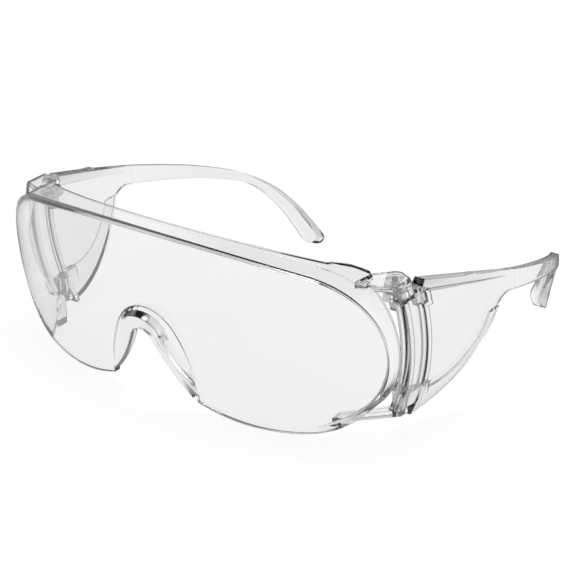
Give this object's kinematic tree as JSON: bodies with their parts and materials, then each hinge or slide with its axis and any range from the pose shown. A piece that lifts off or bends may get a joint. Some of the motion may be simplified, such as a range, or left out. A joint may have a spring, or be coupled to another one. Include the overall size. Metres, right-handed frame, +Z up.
{
  "type": "safety overglasses",
  "caption": "Clear wraparound overglasses: one-piece moulded lens front with a raised nose hood, and folding temples with side shields, joined by hinge pins.",
  "frame": {"origin": "on the table under the middle of the glasses, resting open on both lens lobes and both temple tips", "axes": "+X across the face towards the temple nearer the camera in the picture, which is the wearer's left side, -Y the way the lens faces, +Y back along the temples, +Z up"},
  "size_m": [0.1648, 0.1603, 0.0602],
  "materials": {
    "clear_front": "clear moulded polycarbonate, polished",
    "clear_temple": "clear moulded polycarbonate, polished",
    "clear_pin": "clear moulded plastic"
  },
  "bodies": {
    "front": {"front_lens": "clear_front", "right_top_hinge_pin": "clear_pin", "right_bottom_hinge_pin": "clear_pin", "left_top_hinge_pin": "clear_pin", "left_bottom_hinge_pin": "clear_pin"},
    "temple_right": {"right_temple": "clear_temple"},
    "temple_left": {"left_temple": "clear_temple"}
  },
  "joints": [
    {"name": "fold_right", "type": "hinge", "parent": "front", "child": "temple_right", "pos_m": [0.071, -0.04307, 0.03098], "axis": [0, -0.1439, 0.9896], "range_deg": [0, 84]},
    {"name": "fold_left", "type": "hinge", "parent": "front", "child": "temple_left", "pos_m": [-0.071, -0.04307, 0.03098], "axis": [0, 0.1439, -0.9896], "range_deg": [0, 74]}
  ]
}
